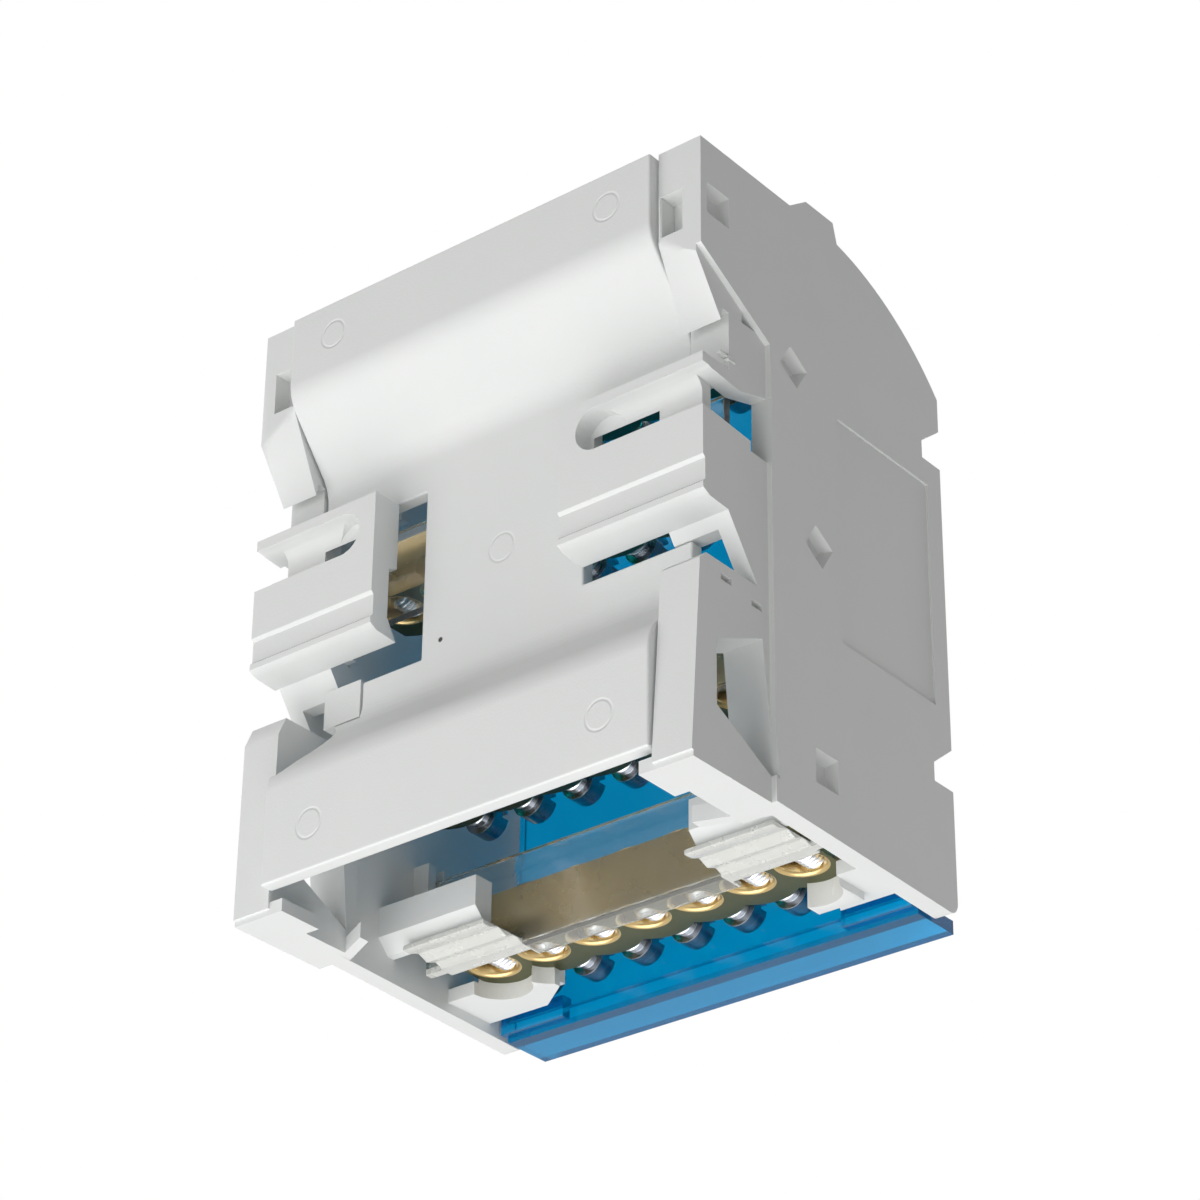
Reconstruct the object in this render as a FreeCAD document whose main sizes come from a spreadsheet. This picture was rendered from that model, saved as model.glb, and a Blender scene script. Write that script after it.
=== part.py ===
# Power distribution block for a 35 mm mounting rail: two moulded cheeks, a stepped back plate,
# four scalloped brass bars on clear carriers, clamp screws and a hinged see-through front cover.
# X runs along the rail, the front faces -Y and Z is up. The origin lies on the rail's seat plane,
# at the rail's centre line and half-way between the two case walls.
import FreeCAD
import Part
import Sketcher
import os
import re

doc = FreeCAD.newDocument("distribution_block")
sheet = doc.addObject("Spreadsheet::Sheet", "Sizes")

SIZES = {
    # half the width on the rail, and the case walls set in from it
    "hook_half": 35.0, "case_inset": 0.7, "case_wall": 2.5, "case_top": 40.0, "case_bottom": 44.0,
    "front_edge": 43.0, "front_drop": 0.8, "wall_back": 7.2, "corner_round": 1.6, "brow_radius": 36.0,
    "brow_reach": 27.5, "brow_rise": 0.2,
    "bump_start": 11.8, "bump_length": 9.9, "bump_rise": 2.5, "bump_ramp": 3.4, "bump_lip": 0.8,
    "notch_depth": 3.9, "notch_mouth": 5.6, "notch_floor": 2.5, "notch_high": 17.0, "notch_low": 28.4,
    # how far a cut runs out of the solid, and how far joined forms run into each other
    "spill": 1.0, "weld": 0.3,
    # rail hooks, and the webs below them
    "hook_shift": 1.45, "rail_height": 35.0, "rail_play": 0.5, "back_reach": 6.3,
    "hook_gap": 1.5, "hook_lap": 1.2, "hook_slope": 7.2, "hook_twist": 3.2, "hook_lip": 0.3,
    "pillar_width": 5.6, "pillar_depth": 2.6, "seat_low": 10.4,
    "socket_width": 3.6, "socket_height": 6.0, "socket_depth": 2.6, "socket_rise": 4.0,
    "web_wall": 2.2, "web_front": 9.4,
    # clips: an upper arm with a slot for a blade, and a lower lip that runs on as a neck
    "clip_proud_left": -0.05, "clip_length_left": 21.5, "clip_proud_right": 0.75, "clip_length_right": 20.0,
    "clip_back": 5.1, "clip_top": 10.0, "clip_bottom": 8.6, "clip_wall": 3.0, "arm_depth": 4.4,
    "arm_low": 0.8, "arm_taper": 0.6, "ridge_drop": 4.1, "ridge_depth": 0.4, "lip_top": 7.4,
    "lip_chamfer": 1.2, "lip_fall": 0.6, "lip_inner": 6.6, "neck_back": 0.4, "neck_fall": 0.8,
    "neck_depth": 5.1, "neck_gap": 0.4, "neck_width": 8.6, "neck_wall": 2.0, "neck_top": 8.0,
    "neck_play": 0.25, "tongue_near": 7.15, "tongue_far": 13.05, "tongue_gap": 0.3,
    "slot_top": 8.6, "slot_low": 2.75, "slot_bed": 2.3, "slot_round": 2.1, "slot_end_wall": 2.55,
    "slit_top": 6.4, "slit_low": 4.4, "slit_rise": 2.2, "slit_start": 8.5, "slit_inset": 0.6,
    "gap_bend": 2.1, "gap_dip": 0.6, "gap_front": 7.3, "gap_high": 9.6, "gap_deep": 0.7,
    "gap_step": 4.1, "gap_fall": 0.65,
    # posts under the clips, with a window, a foot and a toe
    "post_back_left": 7.4, "post_lean_left": 1.6, "post_gap_left": 0.7, "post_back_right": 5.9,
    "post_lean_right": 0.1, "post_gap_right": 2.3, "post_heel": 0.8, "crown_step": 1.2,
    "port_back": 2.8, "port_front": 5.9, "port_flare": 1.9, "port_top": 27.45, "port_rise": 3.85,
    "port_low": 41.0, "port_bottom": 35.8, "foot_width": 7.6, "foot_depth": 6.5, "foot_height": 1.7,
    "toe_reach": 10.0, "toe_back": 5.6, "toe_wall": 1.5, "toe_slant": 2.8, "toe_height": 2.1,
    "pit_length": 2.0, "pit_height": 0.9, "pit_depth": 0.8, "pit_back_one": 0.9, "pit_gap_one": 1.4,
    "pit_back_two": -4.9, "pit_gap_two": 2.2,
    # shallow pockets in the outer wall
    "pocket_side": 4.4, "pocket_depth": 1.4, "pocket_draft": 28.0, "square_back_one": 2.9,
    "square_rise_one": 31.6, "square_back_two": -17.0, "square_rise_two": -36.3,
    "diamond_long": 2.75, "diamond_short": 0.62, "diamond_back_one": -11.9, "diamond_rise_one": 16.2,
    "diamond_back_two": -16.4, "diamond_rise_two": -6.8, "panel_width": 19.2, "panel_height": 31.2,
    "panel_depth": 0.3, "panel_back": 20.8, "panel_low": 17.8,
    # back plate
    "plate_wall": 2.0, "plate_proud": 1.4, "plate_sink": 0.4, "plate_gap": 0.25, "plate_drop": 0.4,
    "plate_lift": 2.9, "bay_play": 0.3, "ramp_run_high": 10.0, "ramp_run_low": 8.5,
    "ramp_round": 6.0, "ramp_offset": 0.8, "window_play_left": 0.5, "window_play_right": 3.5,
    "window_top": 11.2, "window_low_left": 11.05, "window_low_right": 12.6, "notch_play": 0.3,
    "scallop_radius": 5.0, "scallop_gap": 3.9,
    # bars, one row of ways each
    "ways": 7, "way_spacing": 7.8, "lobe_radius": 3.9, "wire_radius": 2.9, "bar_height": 7.6,
    "bar_back": 4.3, "lobe_shoulder": 0.8, "tap_radius": 2.0, "lobe_sides": 18, "tap_sides": 12,
    "row_depth_one": 27.9, "row_rise_one": -37.2, "row_depth_two": 16.0, "row_rise_two": -20.0,
    "row_depth_three": 8.6, "row_rise_three": 4.5, "row_depth_four": 17.4, "row_rise_four": 29.0,
    # clamp screws, set below the bar's middle: the stem is the thread's root
    "screw_drop": 1.5, "stem_play": 0.3, "stem_length": 9.1, "tip_back": 1.7, "head_radius": 2.5,
    "head_height": 2.6, "head_round": 0.7, "driver_slot": 0.9, "driver_depth": 1.2, "screw_sides": 14,
    # clear carriers and the ribs that hold them
    "sheet_wall": 1.2, "sheet_play": 0.2, "sheet_height": 12.5, "sheet_gap": 1.2, "lip_wall": 0.7,
    "lip_reach": 2.4, "lip_half": 15.4, "block_start": 15.2, "block_inset": 2.6, "block_back": 7.2,
    "block_front": 0.8, "flute_wide": 1.6, "flute_deep": 0.6, "rib_wall": 1.4, "rib_reach": 2.5,
    "rib_height": 4.0, "rib_play": 0.15, "rib_root": 0.5,
    # lugs that cradle the end lobes of the lowest bar, and the bracket arms behind them
    "lug_wall": 1.8, "lug_lift": 0.8, "lug_front": 36.0, "lug_play": 0.25, "lug_end": 22.4,
    "lug_tip_left": 24.0, "lug_tip_right": 17.6, "lug_tip_back": 4.6, "bracket_length": 15.6,
    "bracket_wall": 3.0, "bracket_height": 4.0, "bracket_gap": 4.6, "bracket_play": 0.1,
    "bracket_slope": 1.9,
    # front cover
    "cover_gap": 0.5, "cover_wall": 1.6, "cover_inset": 1.0, "brow_gap": 0.6, "brow_tail": 1.8,
    "lip_front": 3.4, "lip_back": 4.0, "lip_height": 1.8, "lip_drop": 1.0, "kerb_height": 2.6,
    "catch_length": 10.0, "catch_depth": 1.4, "catch_height": 2.9, "catch_lift": 0.6,
    "ear_radius": 2.4, "ear_width": 3.0, "ear_depth": 28.0, "ear_bite": 0.8, "pin_radius": 1.2,
    "pin_length": 1.9, "pin_play": 0.06, "bore_depth": 1.8,
}
for row, (alias, size) in enumerate(SIZES.items(), start=1):
    sheet.set("A%d" % row, alias)
    sheet.set("B%d" % row, str(size))
    sheet.setAlias("B%d" % row, alias)
doc.recompute()

ROWS = {"lower_front": "one", "lower_rear": "two", "upper_rear": "three", "upper_front": "four"}
PARTS = []


def full(text):
    """An expression in bare size names, as the document's objects read it."""
    return re.sub(r"[a-z_]+", lambda m: "Sizes." + m[0] if m[0] in SIZES else m[0], str(text))


def number(text):
    """The present value of an expression in bare size names."""
    return float(sheet.evalExpression(str(text)))


def bind(thing, target, text):
    thing.setExpression(target, full(text))


def new_body(label):
    body = doc.addObject("PartDesign::Body", label)
    body.Label = label
    PARTS.append(body)
    return body


def origin(body, role):
    return next(f for f in body.Origin.OriginFeatures if f.Role == role)


def sketch(body, name, plane, offset, loops):
    """A sketch on one of the body's planes, moved along its normal, of closed loops.
    A loop is a list of corners, or ("circle", across, up, radius). A corner with a third
    entry, a radius, is the start of an arc that bulges to the left of its chord if positive."""
    sk = body.newObject("Sketcher::SketchObject", name)
    sk.AttachmentSupport = (origin(body, plane), [""])
    sk.MapMode = "FlatFace"
    bind(sk, "AttachmentOffset.Base.z", offset)
    for loop in loops:
        if loop[0] == "circle":
            circle_loop(sk, *loop[1:])
        else:
            corner_loop(sk, loop)
    return sk


def place(sk, geometry, point, across, up):
    for kind, text in (("DistanceX", across), ("DistanceY", up)):
        k = sk.addConstraint(Sketcher.Constraint(kind, -1, 1, geometry, point, number(text)))
        bind(sk, "Constraints[%d]" % k, text)


def circle_loop(sk, across, up, radius):
    centre = FreeCAD.Vector(number(across), number(up), 0)
    k = sk.addGeometry(Part.Circle(centre, FreeCAD.Vector(0, 0, 1), number(radius)))
    place(sk, k, 3, across, up)
    c = sk.addConstraint(Sketcher.Constraint("Radius", k, number(radius)))
    bind(sk, "Constraints[%d]" % c, radius)


def corner_loop(sk, corners):
    spots = [FreeCAD.Vector(number(c[0]), number(c[1]), 0) for c in corners]
    ids, ends = [], []
    for k, corner in enumerate(corners):
        a, b = spots[k], spots[(k + 1) % len(spots)]
        if len(corner) == 2:
            ids.append(sk.addGeometry(Part.LineSegment(a, b)))
            ends.append((1, 2))
            continue
        radius = number(corner[2])
        chord = b - a
        left = FreeCAD.Vector(-chord.y, chord.x, 0).normalize()
        sag = abs(radius) - (radius * radius - chord.Length ** 2 / 4) ** 0.5
        middle = (a + b) * 0.5 + left * (sag if radius > 0 else -sag)
        ids.append(sk.addGeometry(Part.Arc(a, middle, b)))
        ends.append((2, 1) if radius > 0 else (1, 2))
        c = sk.addConstraint(Sketcher.Constraint("Radius", ids[-1], abs(radius)))
        bind(sk, "Constraints[%d]" % c, "abs(%s)" % corner[2])
    for k, corner in enumerate(corners):
        n = (k + 1) % len(corners)
        sk.addConstraint(Sketcher.Constraint("Coincident", ids[k], ends[k][1], ids[n], ends[n][0]))
        place(sk, ids[k], ends[k][0], corner[0], corner[1])


def grow(body, name, plane, offset, loops, length, cut=False, draft=None):
    """Adds, or cuts away, the loops drawn at the offset and drawn out along the plane's normal."""
    sk = sketch(body, name + "_sketch", plane, offset, loops)
    feature = body.newObject("PartDesign::Pocket" if cut else "PartDesign::Pad", name)
    feature.Profile = sk
    bind(feature, "Length", length)
    if cut:
        feature.Reversed = True
    if draft is not None:
        bind(feature, "TaperAngle", draft)
    return feature


def slab(body, name, near, far, loops, cut=False):
    """The same between two places across the block, drawn in side view."""
    return grow(body, name, "YZ_Plane", near, loops, "(%s) - (%s)" % (far, near), cut)


def layer(body, name, low, high, loops, cut=False):
    """The same between two heights, drawn in plan."""
    return grow(body, name, "XY_Plane", low, loops, "(%s) - (%s)" % (high, low), cut)


def bore(body, name, back, depth, loops):
    """A cut to the front from a place behind, drawn as seen from the front."""
    return grow(body, name, "XZ_Plane", "-(%s)" % back, loops, depth, cut=True)


def blend(body, name, near, near_loop, far, far_loop):
    """A form that goes evenly from one side view to another across the block."""
    first = sketch(body, name + "_near", "YZ_Plane", near, [near_loop])
    second = sketch(body, name + "_far", "YZ_Plane", far, [far_loop])
    loft = body.newObject("PartDesign::AdditiveLoft", name)
    loft.Profile = first
    loft.Sections = [second]
    loft.Ruled = True
    return loft


def repeat(body, name, feature, step, count):
    """Copies of a feature in a row along the block's width."""
    doc.recompute()
    pattern = body.newObject("PartDesign::LinearPattern", name)
    pattern.Originals = [feature]
    pattern.Direction = (origin(body, "X_Axis"), [""])
    bind(pattern, "Length", "(%s) * ((%s) - 1)" % (step, count))
    bind(pattern, "Occurrences", count)
    body.Tip = pattern
    return pattern


def prism(body, name, plane, offset, across, up, radius, length, sides, cut=False):
    """A many-sided prism along the plane's normal, for the small round forms that repeat."""
    kind = "PartDesign::SubtractivePrism" if cut else "PartDesign::AdditivePrism"
    feature = body.newObject(kind, name)
    feature.AttachmentSupport = (origin(body, plane), [""])
    feature.MapMode = "FlatFace"
    for axis, text in zip("xyz", (across, up, offset)):
        bind(feature, "AttachmentOffset.Base." + axis, text)
    bind(feature, "Polygon", sides)
    bind(feature, "Circumradius", radius)
    bind(feature, "Height", length)
    return feature


def soften(body, name, feature, wanted, radius=None, chamfer=None):
    """A fillet, or a chamfer, on the edges of the feature that the test picks."""
    names = ["Edge%d" % (k + 1) for k, e in enumerate(feature.Shape.Edges) if wanted(e)]
    soft = body.newObject("PartDesign::Fillet" if radius else "PartDesign::Chamfer", name)
    soft.Base = (feature, names)
    bind(soft, "Radius" if radius else "Size", radius or chamfer)
    return soft


def box_loop(a, b, c, d):
    return [(a, c), (b, c), (b, d), (a, d)]


# Sizes that several pieces share, as expressions.
RAIL_TOP = "rail_height / 2"
HOOK_ROOF = "(rail_height / 2 + rail_play)"
HOOK_TIP = "(rail_height / 2 - hook_lap)"
CASE_HALF = "(hook_half - case_inset)"
INNER = "(%s - case_wall)" % CASE_HALF
NECK_LOW = "(%s - neck_gap)" % RAIL_TOP
BROW_Y = "(brow_reach - front_edge)"
BROW_Z = "(case_top + brow_rise - brow_radius)"
STEM_RADIUS = "(tap_radius - stem_play)"
LAST_WAY = "way_spacing * (ways - 1) / 2"
BAR_HALF = "(%s + lobe_radius)" % LAST_WAY
PLATE_FACE = "(back_reach + plate_proud)"
POST_LOW = "(-case_bottom)"
HINGE_Y = "(-ear_depth)"
HINGE_REACH = "(brow_radius - brow_gap - cover_wall - ear_radius + ear_bite)"
HINGE_Z = "(%s + sqrt(%s ^ 2 - (%s + ear_depth) ^ 2))" % (BROW_Z, HINGE_REACH, BROW_Y)


def brow(depth, inset):
    """Height of the rounded brow, set in from the case's own curve, at a depth from the rail."""
    return "%s + sqrt((brow_radius - (%s)) ^ 2 - (%s + (%s)) ^ 2)" % (BROW_Z, inset, BROW_Y, depth)


def row_y(row):
    return "-row_depth_%s" % ROWS[row]


def row_z(row):
    return "row_rise_%s" % ROWS[row]


def entry(row):
    """+1 where wires enter from above, -1 where they enter from below."""
    return 1 if row.startswith("upper") else -1


def sheet_face(row):
    """Front face of a row's carrier sheet, just behind its bar."""
    return "(bar_back + sheet_play - row_depth_%s)" % ROWS[row]


# Each cheek is one moulding: case wall, rail hook, clip, post and the ribs that hold the carriers.
class Cheek:
    def __init__(self, label, side):
        self.body = new_body(label)
        self.label = label
        self.side = side
        self.hand = "left" if side < 0 else "right"
        self.plane = "(hook_half %+d * hook_shift)" % side
        self.tip = "(%s + clip_proud_%s)" % (self.plane, self.hand)
        self.root = "(%s - clip_length_%s)" % (self.tip, self.hand)
        self.heel = "post_back_" + self.hand

    def span(self, inner, outer):
        """Ends, from low to high X, of a span given as distances from the case's middle."""
        if self.side > 0:
            return inner, outer
        return "-(%s)" % outer, "-(%s)" % inner

    def across(self, outer, inner):
        """The same, as distances inward from the hooks' outer plane."""
        return self.span("%s - (%s)" % (self.plane, inner), "%s - (%s)" % (self.plane, outer))

    def from_wall(self, outer, inner):
        """The same, as distances inward from the case wall's outer face."""
        return self.span("%s - (%s)" % (CASE_HALF, inner), "%s - (%s)" % (CASE_HALF, outer))

    def add(self, name, ends, loops, cut=False):
        return slab(self.body, "%s_%s" % (self.label, name), *ends, loops, cut)

    def wall(self):
        def notch(low):
            floor = "notch_depth - front_edge"
            return [("-front_edge", "%s + notch_mouth" % low), (floor, "%s + notch_floor" % low),
                    (floor, low), ("-front_edge", low)]

        # the wall's shoulder meets the hook's slope at the wall's inner face
        twist = "hook_twist * (%s - %s) / pillar_width" % (self.plane, INNER)
        shoulder = "%s + hook_slope + %s" % (HOOK_TIP, twist)
        bump_end = "(bump_start + bump_length)"
        outline = [("back_reach", "case_top"), ("-bump_start", "case_top"),
                   ("-bump_start - bump_ramp", "case_top + bump_rise"),
                   ("bump_lip - %s" % bump_end, "case_top + bump_rise"),
                   ("-%s" % bump_end, brow(bump_end, "0"), "brow_radius * -1"),
                   ("-front_edge", brow("front_edge", "0"))]
        outline += notch("notch_high") + notch("-notch_low")
        toe = "-case_bottom - front_drop"
        outline += [("-front_edge", "corner_round " + toe, "corner_round * -1"),
                    ("corner_round - front_edge", toe), ("-wall_back", "-case_bottom"),
                    ("-wall_back", "%s - rail_play" % RAIL_TOP),
                    ("back_reach", shoulder)]
        self.add("wall", self.from_wall("0", "case_wall"), [outline])

    def hook(self):
        """The hook's slope starts higher on the inner side, so its back is slightly twisted."""
        def outline(rise):
            return [("back_reach", "case_top"), ("back_reach", "%s + hook_slope + %s" % (HOOK_TIP, rise)),
                    ("hook_gap", HOOK_TIP), ("hook_gap - hook_lip", HOOK_ROOF), ("0", HOOK_ROOF),
                    ("0", "seat_low"), ("-pillar_depth", "seat_low"), ("-pillar_depth", "case_top")]

        near, far = self.across("0", "pillar_width")
        rises = ("0", "hook_twist")[:: -self.side]
        blend(self.body, self.label + "_hook", near, outline(rises[0]), far, outline(rises[1]))
        foot = "(%s + hook_slope + socket_rise)" % HOOK_TIP
        self.add("socket", self.across("pillar_width - socket_width", "pillar_width + spill"),
                 [box_loop("back_reach - socket_depth", "back_reach + spill", foot,
                           "%s + socket_height" % foot)], cut=True)

    def clip(self):
        """Web, clip and neck share the clip's back outline; the slot runs in from the outer end."""
        back = [("clip_back", "clip_top"), ("clip_back", "-ridge_drop"),
                ("clip_back - ridge_depth", "-ridge_drop - ridge_depth"),
                ("clip_back - ridge_depth", "-lip_top"), ("clip_back", "-lip_top - ridge_depth"),
                ("clip_back", "-clip_bottom"), ("clip_back - lip_chamfer", "-clip_bottom - lip_fall"),
                ("neck_back", "-clip_bottom - neck_fall")]
        front = [("clip_back - clip_wall", "-lip_inner"), ("clip_back - clip_wall", "arm_low - arm_taper"),
                 ("clip_back - arm_depth", "arm_low"), ("clip_back - arm_depth", "clip_top")]
        web = [("0", HOOK_ROOF), ("0", "clip_top")] + back
        web += [("-neck_depth", "-" + NECK_LOW), ("-neck_depth", POST_LOW), ("-web_front", POST_LOW),
                ("-web_front", HOOK_ROOF)]
        self.add("web", self.across("0", "web_wall"), [web])
        self.add("clip", self.span(self.root, self.tip), [back + front])

        # the neck stops just above the lower edge of the plate's window
        end = "(window_low_%s - neck_play)" % self.hand
        run = "((%s - clip_bottom - neck_fall) * (neck_back + neck_depth)" % end
        tip = "(neck_back - %s / (%s - clip_bottom - neck_fall)))" % (run, NECK_LOW)
        neck = [("neck_back", "-clip_bottom - neck_fall"), (tip, "-" + end),
                ("%s - neck_wall" % tip, "-" + end), ("%s - neck_wall" % tip, "-neck_top"),
                ("clip_back - clip_wall", "-lip_inner")]
        self.add("neck", self.across("0", "neck_width"), [neck])

        trough = [("clip_back + spill", "slot_top"),
                  ("slot_bed + slot_round", "slot_top", "slot_round * -1"),
                  ("slot_bed", "slot_top - slot_round"),
                  ("slot_bed", "slot_low + slot_round", "slot_round * -1"),
                  ("slot_bed + slot_round", "slot_low"), ("clip_back + spill", "slot_low")]
        radius = "(slot_top - slot_low) / 2"
        centre = "(%s + slot_end_wall + %s)" % (self.root, radius)
        self.add("slot", self.span(centre, self.tip + " + spill"), [trough], cut=True)
        bore(self.body, self.label + "_slot_end", "clip_back + spill", "clip_back + spill - slot_bed",
             [("circle", "%d * %s" % (self.side, centre), "(slot_top + slot_low) / 2", radius)])
        inside = "clip_back - arm_depth - spill"
        slit = [("slot_bed + spill", "slit_low"), ("slot_bed + spill", "slit_top"),
                ("slot_bed", "slit_top"), (inside, "slit_top + slit_rise"), (inside, "slit_low")]
        start = "%s + slot_end_wall + slit_inset" % self.root
        self.add("slit", self.span(start, self.plane + " - slit_start"), [slit], cut=True)
        gap = [("clip_back + spill", "slot_top"), ("-gap_bend", "slot_top - gap_dip"),
               ("-gap_front", "gap_high"), ("-gap_front", "gap_deep"), ("-gap_step", "gap_deep"),
               ("-gap_step", "slot_low - gap_fall"), ("clip_back + spill", "slot_low")]
        self.add("gap", self.span(self.plane + " - web_wall", self.tip + " + spill"), [gap], cut=True)

    def post(self):
        top = "%s - post_lean_%s" % (self.heel, self.hand)
        outline = [(self.heel, "%s + post_heel" % POST_LOW),
                   (top, "-(%s + post_gap_%s)" % (RAIL_TOP, self.hand)),
                   (top + " - crown_step", "-" + NECK_LOW), ("-web_front", "-" + NECK_LOW),
                   ("-web_front", POST_LOW), ("0", POST_LOW)]
        self.add("post", self.across("0", "pillar_width"), [outline])
        heel = "(%s - weld)" % self.heel
        self.add("foot", self.across("0", "foot_width"),
                 [box_loop(heel + " - foot_depth", heel, POST_LOW, "%s + foot_height" % POST_LOW)])
        port = [("port_back", "-port_top"), ("-port_front", "port_rise - port_top"),
                ("-port_front - port_flare", "-port_low"), ("port_back", "-port_bottom")]
        self.add("port", self.across("-spill", "pillar_width + spill"), [port], cut=True)
        for k in ("one", "two"):
            y, z = "pit_back_" + k, "-(%s + pit_gap_%s)" % (RAIL_TOP, k)
            pit = box_loop(y + " - pit_length / 2", y + " + pit_length / 2",
                           z + " - pit_height / 2", z + " + pit_height / 2")
            self.add("pit_" + k, self.across("-spill", "pit_depth"), [pit], cut=True)
        near = "%d * (%s - toe_reach)" % (self.side, self.plane)
        far = "%d * (%s + weld)" % (self.side, INNER)
        toe = [(near, "-toe_back"), (near, "-toe_back - toe_wall"),
               (far, "-toe_back - toe_wall - toe_slant"), (far, "-toe_back - toe_slant")]
        layer(self.body, self.label + "_toe", POST_LOW, "%s + toe_height" % POST_LOW, [toe])

    def lug(self):
        """A lug with half-round cradles for the lowest bar's end lobes, and the arm behind it."""
        y = row_y("lower_front")
        root = "%d * (%s - case_wall / 2)" % (self.side, CASE_HALF)
        tip = "%d * lug_tip_%s" % (self.side, self.hand)
        outline = [(root, y), (tip, y), (tip, "%s - lug_tip_back" % y),
                   ("%d * lug_end" % self.side, "-lug_front"), (root, "-lug_front")]
        low, high = "lug_lift - case_bottom", "lug_lift + lug_wall - case_bottom"
        layer(self.body, self.label + "_lug", low, high, [outline])
        for k in (0, 1):
            centre = "%d * (%s - %d * way_spacing)" % (self.side, LAST_WAY, k)
            layer(self.body, "%s_cradle_%d" % (self.label, k), low + " - spill", high + " + spill",
                  [("circle", centre, y, "lobe_radius + lug_play")], cut=True)
        face = "(%s + sheet_wall + bracket_gap)" % sheet_face("lower_front")
        heel = "(%s + bracket_wall)" % face
        under = "(row_rise_one - bar_height / 2 - sheet_play + bracket_play)"
        crest = "%s + bracket_slope + bracket_height" % under
        arm = [(heel, crest), (heel, "%s + bracket_slope" % under), ("%s - bracket_slope" % heel, under),
               (face, under), (face, crest)]
        self.add("bracket", self.from_wall("case_wall / 2", "case_wall + bracket_length"), [arm])

    def ribs(self):
        """Pairs of ribs that the carriers' sheets slide between."""
        for row in ROWS:
            face = sheet_face(row)
            behind = "%s + sheet_wall + rib_play" % face
            before = "%s - rib_play" % face
            root = CASE_HALF + " - case_wall / 2"
            if row.endswith("rear"):
                root = self.plane + " - rib_root"
            ends = ["%d * (%s)" % (self.side, v) for v in (root, "%s - rib_reach" % INNER)]
            middle = "(%s - %d * (bar_height / 2 + rib_height))" % (row_z(row), entry(row))
            pair = [box_loop(*ends, before + " - rib_wall", before),
                    box_loop(*ends, behind, behind + " + rib_wall")]
            layer(self.body, "%s_ribs_%s" % (self.label, ROWS[row]), middle + " - rib_height / 2",
                  middle + " + rib_height / 2", pair)

    def hinge(self):
        """The blind bore for the cover's hinge pin."""
        self.add("bore", self.from_wall("case_wall - bore_depth", "case_wall + spill"),
                 [("circle", HINGE_Y, HINGE_Z, "pin_radius + pin_play")], cut=True)


cheeks = []
for label, side in (("left_cheek", -1), ("right_cheek", 1)):
    cheek = Cheek(label, side)
    for step in (cheek.wall, cheek.hook, cheek.clip, cheek.post, cheek.lug, cheek.ribs, cheek.hinge):
        step()
    cheeks.append(cheek)
left_cheek, right_cheek = cheeks

# On the right the neck ends in a tongue that fills a notch in the back plate.
tongue_low = "-(%s - tongue_gap)" % RAIL_TOP
tongue_top = "neck_play - window_low_right + weld"
right_cheek.add("tongue", right_cheek.across("tongue_near", "tongue_far"),
                [box_loop("-plate_sink - plate_wall", "-plate_sink", tongue_low, tongue_top)])

# The left wall's outer face has four tapered pockets and a shallow bare panel.
for k in ("one", "two"):
    y, z = "square_back_" + k, "square_rise_" + k
    square = box_loop(y + " - pocket_side / 2", y + " + pocket_side / 2",
                      z + " - pocket_side / 2", z + " + pocket_side / 2")
    y, z = "diamond_back_" + k, "diamond_rise_" + k
    diamond = [(y + " + diamond_long", z + " - diamond_short"),
               (y + " + diamond_short", z + " + diamond_long"),
               (y + " - diamond_long", z + " + diamond_short"),
               (y + " - diamond_short", z + " - diamond_long")]
    for name, loop in (("square", square), ("diamond", diamond)):
        grow(left_cheek.body, "%s_pocket_%s" % (name, k), "YZ_Plane", "-" + CASE_HALF, [loop],
             "pocket_depth", True, "-pocket_draft")
panel = box_loop("-panel_back - panel_width", "-panel_back", "-panel_low", "panel_height - panel_low")
grow(left_cheek.body, "label_panel", "YZ_Plane", "-" + CASE_HALF, [panel], "panel_depth", True)

# Back plate: two flat strips, ramps and a sunk middle that the rail lies in, with a window per clip.
plate = new_body("back_plate")
left_end = "-(%s - pillar_width - plate_gap)" % left_cheek.plane
right_end = "(%s - pillar_width - plate_gap)" % right_cheek.plane
face, sunk = PLATE_FACE, "-plate_sink"
high, low = "(case_top - plate_drop)", "(plate_lift - case_bottom)"
bay_low = "-(%s + bay_play)" % RAIL_TOP
bends = [RAIL_TOP + " + ramp_run_high", RAIL_TOP, bay_low, bay_low + " - ramp_run_low"]
outer = [(face, high), (face, bends[0]), (sunk, bends[1]), (sunk, bends[2]), (face, bends[3]), (face, low)]
raised, lowered = face + " - plate_wall", sunk + " - plate_wall"
inner = [(raised, low), (raised, bends[3] + " + ramp_offset"), (lowered, bends[2] + " + ramp_offset"),
         (lowered, bends[1] + " - ramp_offset"), (raised, bends[0] + " - ramp_offset"), (raised, high)]
shell = slab(plate, "plate_shell", left_end, right_end, [outer + inner])


def on_bend(edge):
    """True for the long outer edges at the ramps' ends."""
    a, b = edge.Vertexes[0].Point, edge.Vertexes[-1].Point
    outside = min(abs(a.y - number(y)) for y in (face, sunk)) < 1e-3
    return abs(a.z - b.z) < 1e-3 and outside and min(abs(a.z - number(z)) for z in bends) < 1e-3


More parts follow.
